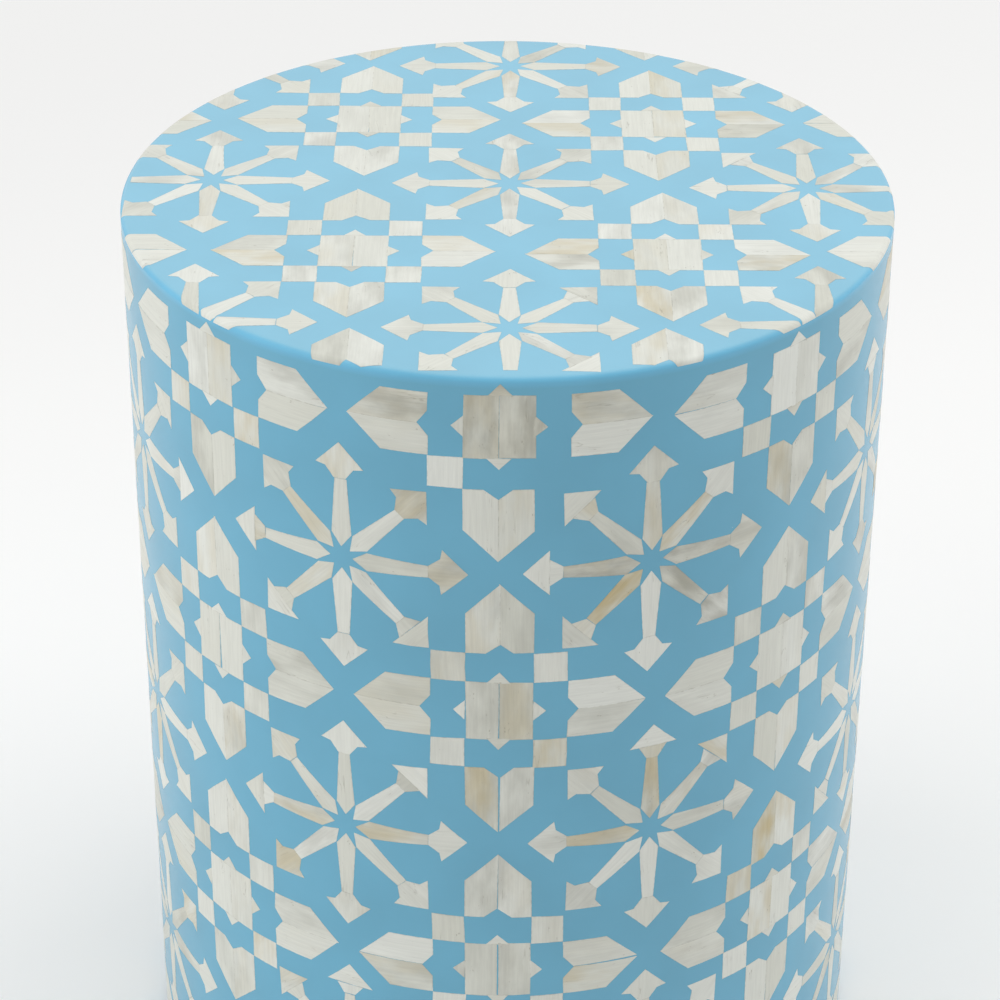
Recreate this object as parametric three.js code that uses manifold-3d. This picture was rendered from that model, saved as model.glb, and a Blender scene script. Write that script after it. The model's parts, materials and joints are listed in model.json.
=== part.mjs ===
// A round drum stool with a bone inlay set in tinted resin, in millimetres, +Z up.
// The origin is on the drum's axis, on the floor that the four glides stand on.
// The drum is a carcass of two discs, two rib rings and eight battens, with a skin of
// bent plywood in four quarters. Tinted resin covers the side and the top, and the
// top's bone motifs are let into pockets in the resin and ground flush with it.
// Bones that touch corner to corner in the traditional star pattern share one solid.

import * as THREE from "three";
import { mergeVertices } from "three/addons/utils/BufferGeometryUtils.js";
import Module from "manifold-3d";

const wasm = await Module();
wasm.setup();

// Driving dimensions of the drum
const drumDiameter = 350;
const drumHeight = 462; // without the glides
const resinThickness = 3.2;
const edgeRadius = 2.5; // rounding of the top's edge
const plyThickness = 6;
const fit = 0.3; // glue line or clearance between neighbouring pieces

// Carcass
const panelThickness = 18;
const ribThickness = 18;
const ribWidth = 35;
const ribNames = ["rib_lower", "rib_upper"];
const battenCount = 8;
const battenWidth = 36;
const battenDepth = 22;
const housingDepth = 6; // how deep the battens' ends are let into the discs

// Base screws and glides
const screwRadius = 2;
const screwHeadRadius = 4;
const screwRimHeight = 0.6;
const screwConeHeight = 2.6;
const screwLength = 45;
const screwPointLength = 5;
const screwSink = 0.2; // the heads lie a little under the base's face
const recessWidth = 1;
const recessSpan = 4.4;
const recessDepth = 1.8;
const glideHeight = 3;
const glideRadius = 14;
const glideEdge = 1; // chamfer round a glide's foot
const glideScrewGap = 6; // from a glide's edge to the circle of the screws' heads
const glideCount = 4;
const nailHeadRadius = 4;
const nailHeadHeight = 0.8;
const nailHeadSink = 0.7;
const nailRadius = 1;
const nailLength = 15;
const nailPointLength = 3;

// Bone pieces of the top
const boneThickness = 2.2;
const topCellShare = 0.386; // a cell of the top's pattern, as a share of the diameter
const topShiftShare = 0.063; // of a cell: the pattern was laid a little behind the axis
const stripWidth = 15; // bone strips are about this wide, and set every motif's size
const touchLap = 0.5; // bones that touch at a corner share this much in the solid
const khatamPointBase = 10.5;
const khatamPointHeight = 5.3;
const houseTipGap = 10.3; // between the points of two houses that face each other
const houseNotchHalf = 6.2;
const houseNotchDepth = 4.9;
const armsPerStar = 8;
const armStartRadius = 6.5;
const armShoulderRadius = 12.2;
const armShoulderHalf = 4.5; // of an arm that stands alone: a whole star's arms touch
const armNeckHalf = 2.8;
const headLength = 17.4;
const headEarSetback = 11.5; // from the head's tip back to its ears
const headEarHalf = 11.3;
const headNotchSetback = 12.3;
const headNotchHalf = 6.7;
const straightTipSpare = 1; // straight arms are this much longer than the diagonal ones
const tipGap = 0.6; // from a diagonal arm's tip to the corner of the square that it points at

// Facets
const drumFacets = 96;
const edgeFacets = 3;
const screwFacets = 12;
const glideFacets = 24;
const overrun = 5; // cutting shapes run this far past the faces that they cut
const weld = 1e-3;

// Radii from the outside in, and heights from the floor up
const drumRadius = drumDiameter / 2;
const skinRadius = drumRadius - resinThickness - fit;
const carcassRadius = skinRadius - plyThickness - fit;
const baseZ = glideHeight + fit;
const topZ = glideHeight + drumHeight;
const resinBottomZ = topZ - resinThickness;
const carcassTopZ = resinBottomZ - fit;
const topPanelZ = carcassTopZ - panelThickness;
const basePanelTopZ = baseZ + panelThickness;
const battenBottomZ = basePanelTopZ - housingDepth + fit;
const battenTopZ = topPanelZ + housingDepth - fit;
const pocketFloorZ = topZ - boneThickness - fit;
const battenRadius = carcassRadius - battenDepth / 2;
const glideCircleRadius = battenRadius - screwHeadRadius - glideScrewGap - glideRadius;

// Colours and finishes
const finishes = {
  resin: { color: 0x69b4d7, roughness: 0.3, metalness: 0 },
  bone: { color: 0xe3ddcf, roughness: 0.45, metalness: 0 },
  board: { color: 0x9c7b56, roughness: 0.85, metalness: 0 },
  plywood: { color: 0xc9a978, roughness: 0.8, metalness: 0 },
  pine: { color: 0xd8b98a, roughness: 0.75, metalness: 0 },
  steel: { color: 0xb9bcc0, roughness: 0.35, metalness: 1 },
  nylon: { color: 0x2b2b2c, roughness: 0.6, metalness: 0 },
};

const stool = new THREE.Group();

function addMesh(name, geometry, finish, parent = stool) {
  const mesh = new THREE.Mesh(geometry, new THREE.MeshStandardMaterial(finishes[finish]));
  mesh.name = name;
  parent.add(mesh);
  return mesh;
}

// A closed geometry as a solid that can be joined and cut.
function solidOf(geometry) {
  const bare = geometry.clone();
  bare.deleteAttribute("normal");
  bare.deleteAttribute("uv");
  const merged = mergeVertices(bare, weld);
  const mesh = new wasm.Mesh({
    numProp: 3,
    vertProperties: merged.attributes.position.array,
    triVerts: new Uint32Array(merged.index.array),
  });
  return new wasm.Manifold(mesh);
}

// A solid as a geometry with flat facets.
function geometryOf(solid) {
  const mesh = solid.getMesh();
  const indexed = new THREE.BufferGeometry();
  indexed.setAttribute("position", new THREE.BufferAttribute(mesh.vertProperties, 3));
  indexed.setIndex(new THREE.BufferAttribute(mesh.triVerts, 1));
  const geometry = indexed.toNonIndexed();
  geometry.computeVertexNormals();
  return geometry;
}

// The largest body of a solid: slivers that the rim leaves are not laid.
function largestBody(solid) {
  return solid.decompose().sort((a, b) => b.volume() - a.volume())[0];
}

function joined(solids) {
  return solids.reduce((whole, piece) => whole.add(piece));
}

// A profile of [radius, height] points turned about the Z axis.
function turned(profile, facets) {
  const points = profile.map(([radius, height]) => new THREE.Vector2(radius, height));
  return new THREE.LatheGeometry(points, facets).rotateX(Math.PI / 2);
}

function disc(radius, bottomZ, thickness) {
  const upperZ = bottomZ + thickness;
  return turned([[0, bottomZ], [radius, bottomZ], [radius, upperZ], [0, upperZ]], drumFacets);
}

function ring(innerRadius, outerRadius, bottomZ, height) {
  const upperZ = bottomZ + height;
  const outline = [
    [innerRadius, bottomZ],
    [outerRadius, bottomZ],
    [outerRadius, upperZ],
    [innerRadius, upperZ],
    [innerRadius, bottomZ],
  ];
  return turned(outline, drumFacets);
}

// An outline of [x, y] points raised between two heights.
function raised(outline, bottomZ, upperZ) {
  const shape = new THREE.Shape(outline.map(([x, y]) => new THREE.Vector2(x, y)));
  const options = { depth: upperZ - bottomZ, bevelEnabled: false };
  return new THREE.ExtrudeGeometry(shape, options).translate(0, 0, bottomZ);
}

// Places an outline drawn along +X: turned by an angle, then moved to a centre.
function placed(outline, angle, [centreX, centreY]) {
  const cos = Math.cos(angle);
  const sin = Math.sin(angle);
  return outline.map(([x, y]) => [centreX + x * cos - y * sin, centreY + x * sin + y * cos]);
}

// An outline, counterclockwise, with every edge moved outwards by a distance.
function widened(outline, distance) {
  const count = outline.length;
  return outline.map(([x, y], i) => {
    const [beforeX, beforeY] = outline[(i + count - 1) % count];
    const [afterX, afterY] = outline[(i + 1) % count];
    const inward = new THREE.Vector2(x - beforeX, y - beforeY).normalize();
    const onward = new THREE.Vector2(afterX - x, afterY - y).normalize();
    const reach = distance / (1 + inward.dot(onward));
    return [x + reach * (inward.y + onward.y), y - reach * (inward.x + onward.x)];
  });
}

// The angle of the copy with this number, of a full turn's copies
function stepAngle(index, count) {
  return (index * 2 * Math.PI) / count;
}

// Carcass: the battens stand in notches in the ribs and in housings in both discs.
function battenBlank(clearance, bottomZ, upperZ) {
  const halfWidth = battenWidth / 2 + clearance;
  const innerX = battenRadius - battenDepth / 2 - clearance;
  const outerX = carcassRadius + overrun;
  const outline = [
    [innerX, -halfWidth],
    [outerX, -halfWidth],
    [outerX, halfWidth],
    [innerX, halfWidth],
  ];
  return solidOf(raised(outline, bottomZ, upperZ));
}

function battenCuts(bottomZ, upperZ) {
  const blank = battenBlank(fit, bottomZ, upperZ);
  const turnDegrees = THREE.MathUtils.radToDeg(stepAngle(1, battenCount));
  return joined([...Array(battenCount).keys()].map((i) => blank.rotate(0, 0, i * turnDegrees)));
}

// A countersunk screw, point up, with its head's face at the given height.
function screwProfile(faceZ, clearance) {
  const coneZ = faceZ + screwRimHeight + clearance;
  const shankZ = coneZ + screwConeHeight;
  const tipZ = faceZ + screwLength + clearance;
  return [
    [0, faceZ],
    [screwHeadRadius + clearance, faceZ],
    [screwHeadRadius + clearance, coneZ],
    [screwRadius + clearance, shankZ],
    [screwRadius + clearance, tipZ - screwPointLength],
    [0, tipZ],
  ];
}

function nailProfile(faceZ, clearance) {
  const shankZ = faceZ + nailHeadHeight;
  const tipZ = faceZ + nailLength + clearance;
  return [
    [0, faceZ],
    [nailHeadRadius + clearance, faceZ],
    [nailHeadRadius + clearance, shankZ],
    [nailRadius + clearance, shankZ],
    [nailRadius + clearance, tipZ - nailPointLength],
    [0, tipZ],
  ];
}

// A hole's profile starts below the base, so that the cut leaves no skin.
function holeThrough(profile, bottomZ) {
  return profile.map(([radius, z], i) => [radius, i < 2 ? bottomZ : z]);
}

function circleOfHoles(profile, radius, count, firstAngle, facets) {
  const tool = solidOf(turned(profile, facets));
  return joined(
    [...Array(count).keys()].map((i) => {
      const angle = firstAngle + stepAngle(i, count);
      return tool.translate(radius * Math.cos(angle), radius * Math.sin(angle), 0);
    }),
  );
}

const screwFaceZ = baseZ + screwSink;
const glideFirstAngle = stepAngle(1, 2 * glideCount);
const screwHoleProfile = holeThrough(screwProfile(screwFaceZ, fit), baseZ - overrun);
const nailHoleProfile = [
  [0, baseZ - overrun],
  [nailRadius + fit, baseZ - overrun],
  [nailRadius + fit, nailHeadSink + nailLength + fit],
  [0, nailHeadSink + nailLength + fit],
];

function addPanels() {
  const topDisc = solidOf(disc(carcassRadius, topPanelZ, panelThickness));
  const topHousings = battenCuts(topPanelZ - overrun, topPanelZ + housingDepth);
  addMesh("top_panel", geometryOf(topDisc.subtract(topHousings)), "board");

  const baseDisc = solidOf(disc(carcassRadius, baseZ, panelThickness));
  const baseHousings = battenCuts(basePanelTopZ - housingDepth, basePanelTopZ + overrun);
  const screwHoles = circleOfHoles(screwHoleProfile, battenRadius, battenCount, 0, screwFacets);
  const nailHoles = circleOfHoles(
    nailHoleProfile,
    glideCircleRadius,
    glideCount,
    glideFirstAngle,
    screwFacets,
  );
  const base = baseDisc.subtract(baseHousings).subtract(screwHoles).subtract(nailHoles);
  addMesh("base_panel", geometryOf(base), "board");
}

function addRibs() {
  const clearHeight = topPanelZ - basePanelTopZ;
  ribNames.forEach((name, i) => {
    const middleZ = basePanelTopZ + (clearHeight * (i + 1)) / (ribNames.length + 1);
    const bottomZ = middleZ - ribThickness / 2;
    const rib = solidOf(ring(carcassRadius - ribWidth, carcassRadius, bottomZ, ribThickness));
    const notches = battenCuts(bottomZ - overrun, bottomZ + ribThickness + overrun);
    addMesh(name, geometryOf(rib.subtract(notches)), "board");
  });
}

function addBattens() {
  const inside = solidOf(disc(carcassRadius, battenBottomZ, battenTopZ - battenBottomZ));
  const pilot = solidOf(turned(screwHoleProfile, screwFacets)).translate(battenRadius, 0, 0);
  const blank = battenBlank(0, battenBottomZ, battenTopZ);
  const geometry = geometryOf(blank.intersect(inside).subtract(pilot));
  for (let i = 0; i < battenCount; i++) {
    const batten = addMesh("batten_" + (i + 1), geometry, "pine");
    batten.rotation.z = stepAngle(i, battenCount);
  }
}

// Four quarters of bent plywood, butted over a batten at each joint.
function addSkins() {
  const names = ["skin_right", "skin_back", "skin_left", "skin_front"];
  const quarter = Math.PI / 2;
  const facets = drumFacets / names.length;
  const innerRadius = skinRadius - plyThickness;
  const halfSpan = quarter / 2 - fit / 2 / skinRadius;
  const shape = new THREE.Shape();
  shape.absarc(0, 0, skinRadius, -halfSpan, halfSpan, false);
  shape.absarc(0, 0, innerRadius, halfSpan, -halfSpan, true);
  const options = { depth: carcassTopZ - baseZ, bevelEnabled: false, curveSegments: facets };
  const geometry = new THREE.ExtrudeGeometry(shape, options);
  names.forEach((name, i) => {
    const skin = addMesh(name, geometry, "plywood");
    skin.position.z = baseZ;
    skin.rotation.z = i * quarter;
  });
}

function addScrews() {
  const blank = solidOf(turned(screwProfile(screwFaceZ, 0), screwFacets));
  const half = recessSpan / 2;
  const slot = [
    [-half, -recessWidth / 2],
    [half, -recessWidth / 2],
    [half, recessWidth / 2],
    [-half, recessWidth / 2],
  ];
  const bottomZ = screwFaceZ - overrun;
  const upperZ = screwFaceZ + recessDepth;
  const origin = [0, 0];
  const cross = joined([
    solidOf(raised(slot, bottomZ, upperZ)),
    solidOf(raised(placed(slot, Math.PI / 2, origin), bottomZ, upperZ)),
  ]);
  const geometry = geometryOf(blank.subtract(cross));
  for (let i = 0; i < battenCount; i++) {
    const spoke = new THREE.Group();
    spoke.rotation.z = stepAngle(i, battenCount);
    stool.add(spoke);
    addMesh("base_screw_" + (i + 1), geometry, "steel", spoke).position.x = battenRadius;
  }
}

// Nail-on glides: a nylon pad with a sunk nail, which goes up into the base.
function addGlides() {
  const holeRadius = nailRadius + fit;
  const recessRadius = nailHeadRadius + fit;
  const recessZ = nailHeadSink + nailHeadHeight + fit;
  const padProfile = [
    [recessRadius, 0],
    [glideRadius - glideEdge, 0],
    [glideRadius, glideEdge],
    [glideRadius, glideHeight],
    [holeRadius, glideHeight],
    [holeRadius, recessZ],
    [recessRadius, recessZ],
    [recessRadius, 0],
  ];
  const pad = turned(padProfile, glideFacets);
  const nail = turned(nailProfile(nailHeadSink, 0), screwFacets);
  for (let i = 0; i < glideCount; i++) {
    const spoke = new THREE.Group();
    spoke.rotation.z = glideFirstAngle + stepAngle(i, glideCount);
    stool.add(spoke);
    addMesh("glide_" + (i + 1), pad, "nylon", spoke).position.x = glideCircleRadius;
    addMesh("glide_nail_" + (i + 1), nail, "steel", spoke).position.x = glideCircleRadius;
  }
}

// The top's full form: a flat disc of resin with a rounded upper edge.
function topForm() {
  const profile = [[0, resinBottomZ], [drumRadius, resinBottomZ]];
  for (let i = 0; i <= edgeFacets; i++) {
    const angle = (i * Math.PI) / 2 / edgeFacets;
    profile.push([
      drumRadius - edgeRadius * (1 - Math.cos(angle)),
      topZ - edgeRadius * (1 - Math.sin(angle)),
    ]);
  }
  profile.push([0, topZ]);
  return solidOf(turned(profile, drumFacets));
}

// The pattern's cell and shift, and where a star's diagonal arms meet the squares' corners
const topCell = topCellShare * drumDiameter;
const cornerRadius = Math.SQRT2 * (topCell / 2 - 2 * stripWidth);
const topShiftY = topShiftShare * topCell;
const straightTip = cornerRadius + straightTipSpare;
const diagonalTip = cornerRadius - Math.SQRT2 * touchLap - tipGap;
const joinedTip = cornerRadius + touchLap;

const touchingShoulderHalf = armShoulderRadius * Math.tan(Math.PI / armsPerStar) + touchLap / 2;

// One arm of a large star along +X: a tapered ray that ends in an arrow head.
function armOutline(tipRadius, shoulderHalf) {
  const below = [
    [armStartRadius, 0],
    [armShoulderRadius, -shoulderHalf],
    [tipRadius - headLength, -armNeckHalf],
    [tipRadius - headNotchSetback, -headNotchHalf],
    [tipRadius - headEarSetback, -headEarHalf],
    [tipRadius, 0],
  ];
  const above = below.slice(1, -1).reverse().map(([x, y]) => [x, -y]);
  return [...below, ...above];
}

// The khatam, a small star: a square with a point on each side.
function khatamOutline() {
  const half = stripWidth;
  const base = khatamPointBase / 2;
  const side = [[half, -half], [half, -base], [half + khatamPointHeight, 0], [half, base]];
  const quarters = [0, 1, 2, 3].map((i) => placed(side, (i * Math.PI) / 2, [0, 0]));
  return quarters.flat();
}

// A small square between the khatam's corner and the houses on either side of it.
function squareOutline() {
  const near = stripWidth - touchLap;
  const far = 2 * stripWidth + touchLap;
  return [[near, near], [far, near], [far, far], [near, far]];
}

// A house along +X: a hexagon with a notch in its base and a square point.
function houseOutline() {
  const half = stripWidth;
  const baseX = 2 * stripWidth;
  const sideX = (topCell - houseTipGap) / 2 - half;
  return [
    [baseX, -half],
    [sideX, -half],
    [sideX + half, 0],
    [sideX, half],
    [baseX, half],
    [baseX, houseNotchHalf],
    [baseX + houseNotchDepth, 0],
    [baseX, -houseNotchHalf],
  ];
}

const form = topForm();
const pockets = [];

// Joins bones into one solid, keeps what lies on the drum, and notes their pockets.
function addBones(name, outlines) {
  const bones = outlines.map((outline) => solidOf(raised(outline, pocketFloorZ + fit, topZ)));
  addMesh(name, geometryOf(largestBody(joined(bones).intersect(form))), "bone");
  for (const outline of outlines)
    pockets.push(solidOf(raised(widened(outline, fit), pocketFloorZ, topZ + overrun)));
}

function starArm(centre, step, tipRadius, shoulderHalf = armShoulderHalf) {
  return placed(armOutline(tipRadius, shoulderHalf), stepAngle(step, armsPerStar), centre);
}

function addStars() {
  const steps = [...Array(armsPerStar).keys()];
  const tips = [straightTip, diagonalTip];
  const centres = {
    star_centre: [0, 0],
    star_right: [1, 0],
    star_back: [0, 1],
    star_left: [-1, 0],
    star_front: [0, -1],
  };
  for (const [name, [column, row]] of Object.entries(centres)) {
    const centre = [column * topCell, topShiftY + row * topCell];
    const arm = (step) => starArm(centre, step, tips[step % 2], touchingShoulderHalf);
    addBones(name, steps.map(arm));
  }
}

// Four rosettes: a khatam, its squares and houses, and the arm that the rim leaves of the
// star beyond. That star's other arms and the houses beyond the next cells stand alone.
function addRosettes() {
  const quarters = [0, 1, 2, 3].map((i) => (i * Math.PI) / 2);
  for (const sideX of [-1, 1]) {
    for (const sideY of [-1, 1]) {
      const place = (sideY < 0 ? "front" : "back") + (sideX < 0 ? "_left" : "_right");
      const middle = [(sideX * topCell) / 2, topShiftY + (sideY * topCell) / 2];
      const corner = [sideX * topCell, topShiftY + sideY * topCell];
      const inward = Math.atan2(-sideY, -sideX);
      const inwardStep = inward / stepAngle(1, armsPerStar);
      const motifs = quarters.flatMap((angle) => [
        placed(squareOutline(), angle, middle),
        placed(houseOutline(), angle, middle),
      ]);
      addBones("rosette_" + place, [
        placed(khatamOutline(), 0, middle),
        ...motifs,
        starArm(corner, inwardStep, joinedTip),
      ]);
      const acrossStep = sideX < 0 ? 0 : armsPerStar / 2;
      const alongStep = (-sideY * armsPerStar) / 4;
      addBones("rim_arm_across_" + place, [starArm(corner, acrossStep, straightTip)]);
      addBones("rim_arm_along_" + place, [starArm(corner, alongStep, straightTip)]);
      const besideX = [middle[0] + sideX * topCell, middle[1]];
      const beyondY = [middle[0], middle[1] + sideY * topCell];
      const acrossAngle = stepAngle(acrossStep, armsPerStar);
      const alongAngle = stepAngle(alongStep, armsPerStar);
      addBones("rim_house_across_" + place, [placed(houseOutline(), acrossAngle, besideX)]);
      addBones("rim_house_along_" + place, [placed(houseOutline(), alongAngle, beyondY)]);
    }
  }
}

function addResin() {
  const sleeve = ring(drumRadius - resinThickness, drumRadius, baseZ, carcassTopZ - baseZ);
  addMesh("resin_side", sleeve, "resin");
  addMesh("resin_top", geometryOf(form.subtract(joined(pockets))), "resin");
}

addPanels();
addRibs();
addBattens();
addSkins();
addScrews();
addGlides();
addStars();
addRosettes();
addResin();

export default stool;
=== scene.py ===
"""The looks of a round drum stool with a bone inlay set in tinted resin, round its CAD frame.

All lengths are metres. The drum's axis is the Z axis, its front faces -Y, and the inlay is laid
out on two planes: the top's, seen from above, and the side's, unrolled, with x along the girth to
the right and y up from the top's plane.
"""

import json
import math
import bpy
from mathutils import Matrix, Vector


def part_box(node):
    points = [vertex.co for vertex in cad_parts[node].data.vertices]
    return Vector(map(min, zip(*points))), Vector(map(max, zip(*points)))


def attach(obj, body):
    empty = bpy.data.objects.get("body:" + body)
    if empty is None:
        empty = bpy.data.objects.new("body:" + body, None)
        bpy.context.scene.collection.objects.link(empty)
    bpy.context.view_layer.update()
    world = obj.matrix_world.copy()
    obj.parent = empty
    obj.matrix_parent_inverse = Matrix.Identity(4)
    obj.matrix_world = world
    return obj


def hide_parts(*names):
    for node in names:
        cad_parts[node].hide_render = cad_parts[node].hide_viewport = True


bl_info = {
    "name": "Bone inlay drum stool",
    "version": (1, 0, 0),
    "blender": (4, 5, 0),
    "location": "3D View > Sidebar > Drum stool",
    "description": "Builds a round drum stool with a bone inlay in tinted resin",
    "category": "Add Mesh",
}

from collections import namedtuple
from functools import partial

import bmesh
import bpy
import numpy as np
from bpy.props import FloatProperty, FloatVectorProperty, IntProperty, PointerProperty
from mathutils import Euler, Matrix, Vector

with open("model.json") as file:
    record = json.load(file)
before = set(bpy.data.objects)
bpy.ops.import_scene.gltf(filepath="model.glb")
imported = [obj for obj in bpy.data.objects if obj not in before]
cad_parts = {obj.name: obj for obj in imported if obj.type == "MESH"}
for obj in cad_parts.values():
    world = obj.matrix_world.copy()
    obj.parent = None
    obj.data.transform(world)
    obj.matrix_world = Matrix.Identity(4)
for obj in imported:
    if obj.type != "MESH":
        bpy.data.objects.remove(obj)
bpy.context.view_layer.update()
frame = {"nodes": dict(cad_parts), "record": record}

MM = 0.001
FULL_TURN = 2 * math.pi
QUARTER = math.pi / 2
BODY = "root"

# The drum, from the frame
side_low, side_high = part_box("resin_side")
top_low, top_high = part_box("resin_top")
star_low, star_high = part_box("star_centre")
RADIUS = side_high.x
TOP_Z = top_high.z
FOOT_Z = side_low.z
BONE_DEPTH = star_high.z - star_low.z
RESIN_DEPTH = TOP_Z - top_low.z
EDGE = 2.5 * MM  # rounding of the top's edge
FOOT_EDGE = 0.5 * MM  # rounding of the resin's foot

# The resin coat: its facets and rings. The face's rings are shares of its flat radius, and the
# wall's even rings start this far under the top.
COAT_FACETS, WALL_RINGS, EDGE_STEPS, FOOT_STEPS = 360, 10, 10, 4
FACE_RINGS = (0, 0.3, 0.6, 0.9, 0.99)
WALL_START = 10 * EDGE

# A turned piece's points are merged within this distance, and it shades sharp past this angle.
MERGE, SHARP = 0.001 * MM, math.radians(35)

ARMS = 8  # of a large star
TOP_CELL = 0.386 * 2 * RADIUS / MM  # a share of the drum's width, in millimetres
EDGE_WRAP = math.radians(83)  # how far round the top's edge a bone at the rim reaches
REACH = 8 * MM  # longest step over a bone's face, short enough to follow the side's curve
FINE_REACH = 0.7 * MM  # the same for a bone that bends over the top's edge
GRAIN_MAP = "grain"  # holds the places of a bone's points on its own strip
MAKE_LAYER = "bone_make"  # holds how pale, grey and tan a bone is, and where its rim is

# How bones differ: the common paleness and its spread, and for grey and tan the most that a bone
# has and how rare that is
PALE, PALE_SPREAD = 0.55, 0.3
GREY, GREY_RARITY = 0.6, 2
TAN, TAN_RARITY = 0.6, 7

# The top's large stars, by column and row. At each corner a further star reaches in with three
# arms: its column and row, and the steps of its arm across, its diagonal arm and its arm along.
TOP_STARS = {
    "star_centre": (0, 0), "star_right": (1, 0), "star_back": (0, 1), "star_left": (-1, 0),
    "star_front": (0, -1),
}
TOP_CORNERS = {
    "front_left": (-1, -1, 0, 1, 2), "back_left": (-1, 1, 0, 7, 6),
    "front_right": (1, -1, 4, 3, 2), "back_right": (1, 1, 4, 5, 6),
}

# Where the photograph shows a motif laid off its place: right and up, in millimetres
TOP_STRAYS = {
    "star_centre": (1, 0.5), "star_left": (0, 2.5), "star_right": (1.5, -3),
    "star_back": (1.3, -2), "star_front": (1, -4.5),
    "rosette_back_left": (2, 2.5), "rosette_back_right": (1.3, -1),
    "rosette_front_left": (0, -0.8), "rosette_front_right": (2.5, -3),
}
SIDE_STRAYS = {
    "rosette_-1_0": (0.5, 0), "rosette_0_0": (0, 1), "rosette_1_0": (0, -1),
    "rosette_-1_1": (0, 0.5), "rosette_0_1": (0.5, 1), "rosette_1_1": (0.5, -0.3),
    "rosette_-1_2": (-1, 1), "rosette_0_2": (0.5, 0), "rosette_1_2": (3, -1.5),
    "star_-2_0": (-1.5, 1.5), "star_-1_0": (1, -0.3), "star_0_0": (-3.5, 0.7),
    "star_1_0": (2.5, -0.5), "star_-2_1": (-2, 2), "star_-1_1": (0, 0), "star_0_1": (0, 0.5),
    "star_1_1": (5, -1), "star_-2_2": (-3, -1), "star_-1_2": (0, 0), "star_0_2": (0, 0),
    "star_1_2": (5, -3.5),
}
# Bones that the photograph shows unlike their neighbours: how pale, grey and tan
NOTES = {
    "star_0_0": {
        "ray_0": [0.3, 1, 0.1], "ray_1": [0.4, 0.1, 0.9], "ray_2": [0.5, 0.3, 0.4],
        "ray_4": [0.2, 1, 0.5], "ray_5": [0.3, 0.1, 1], "ray_7": [0.2, 1, 0.1],
        "head_0": [0.4, 0.5, 0.1], "head_7": [0.9, 1, 0], "head_2": [0.4, 0.6, 0.1],
    },
    "star_-1_0": {"head_0": [0.3, 0.8, 0.3], "head_1": [0.2, 0.8, 0.5]},
    "star_0_1": {"ray_2": [0.1, 0.8, 0.7], "ray_4": [0.3, 0.5, 0.6]},
    "star_-1_1": {"ray_0": [0.3, 0.4, 0.6], "head_5": [0.2, 0.4, 0.6]},
    "rosette_0_0": {
        "strip_left": [0, 0.9, 0.3], "strip_right": [0.1, 0.8, 0.1],
        "point_1": [0.2, 0.9, 0.3], "point_0": [0.3, 0.9, 0.1],
        "house_0_left": [0.3, 0.5, 0.4], "house_2_right": [0.3, 0.8, 0.2],
    },
    "rosette_0_1": {"house_3_right": [0.2, 0.6, 0.7], "strip_right": [0.2, 0.5, 0.4]},
    "rosette_1_0": {"house_3_right": [0.2, 0.6, 0.5]},
    "rosette_1_2": {"house_1_left": [0.1, 0.3, 1]},
}
# Joints that the photograph shows open and filled with resin: how wide, in millimetres
OPENINGS = {"rosette_0_1": {"strips": 0.6, "house_3": 0.5}, "rosette_0_2": {"strips": 0.7}}
# Bones that the drum lacks, as the photograph shows: resin fills their places
BLANKS = {
    "star_front": ("head_6", "neck_6"), "star_left": ("head_4", "neck_4"),
    "rosette_0_0": ("corner_3",),
}

# The fixings. A nail's dome is given as shares of its head's radius and rises, and a screw's
# lengths follow each other from its face: rim with bevel, cone, shank, point.
SCREWS, SCREW_FACETS = 8, 48
SCREW_BEVEL, SCREW_RIM, SCREW_CONE, SCREW_POINT = 0.1 * MM, 0.6 * MM, 2.6 * MM, 5 * MM
SHANK_SHARE = 0.5  # a screw's shank over its head
RECESS_REACH, RECESS_CORE, RECESS_DEPTH = 2.2 * MM, 0.75 * MM, 1.8 * MM
RECESS_SHARPNESS = 6  # how narrow the recess's four arms are
RECESS_RINGS, RIM_RINGS = (0, 0.4, 0.8, 0.95), (0, 0.15, 0.5, 1)
GLIDES, GLIDE_FACETS, GLIDE_STEPS = 4, 48, 6
GLIDE_EDGE = 1 * MM  # rounding of its foot
FIT = 0.3 * MM  # room round a nail
NAIL_FACETS = 24
NAIL_HEAD, NAIL_SHANK, NAIL_POINT = 0.8 * MM, 1 * MM, 3 * MM
NAIL_DOME = ((0, 0), (0.6, 0.1 * MM), (0.95, 0.3 * MM))

# Shader nodes: a Mix node's colour sockets, how it mixes colours, and what noise mostly spans
MIX_A, MIX_B = 6, 7
TINT = {"output": 2, "data_type": "RGBA"}
NOISE_SPAN = {"From Min": 0.3, "From Max": 0.7}

# The studio, in metres: the floor, and where it rises into the background
FILL_LEVEL = 0.45  # light from all round, as a share of the background's
FLOOR_GLOW = 0.06  # lifts the floor that the camera sees, and lights nothing
FLOOR_RINGS, FLOOR_FACETS = (0, 1, 6), 96
RISE_START, RISE_END = 0.6, 2.3
# Each lamp's direction from the front in degrees, its height and distance in metres, its size,
# and its power in watts
LAMPS = {
    "overhead_softbox": (100, 2.8, 0.3, 2.8, 29),
    "left_softbox": (-72, 1.3, 2.2, 2.8, 28),
    "right_softbox": (100, 1.3, 2.2, 2.8, 21),
}
# The photograph's camera: its lens and sensor in millimetres, how far it looks down and leans,
# the point it looks at, and its distance from there
LENS, SENSOR = 119.2, 36
PITCH, ROLL = math.radians(30.99), math.radians(0.3)
TARGET, DISTANCE = Vector((-2.7, 0, 302)) * MM, 1586.2 * MM


def from_hex(code):
    """A colour written as sRGB hex, as linear red, green and blue, and an alpha of 1."""
    shares = [int(code[i : i + 2], 16) / 255 for i in (1, 3, 5)]
    return [s / 12.92 if s <= 0.04045 else ((s + 0.055) / 1.055) ** 2.4 for s in shares] + [1]


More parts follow.
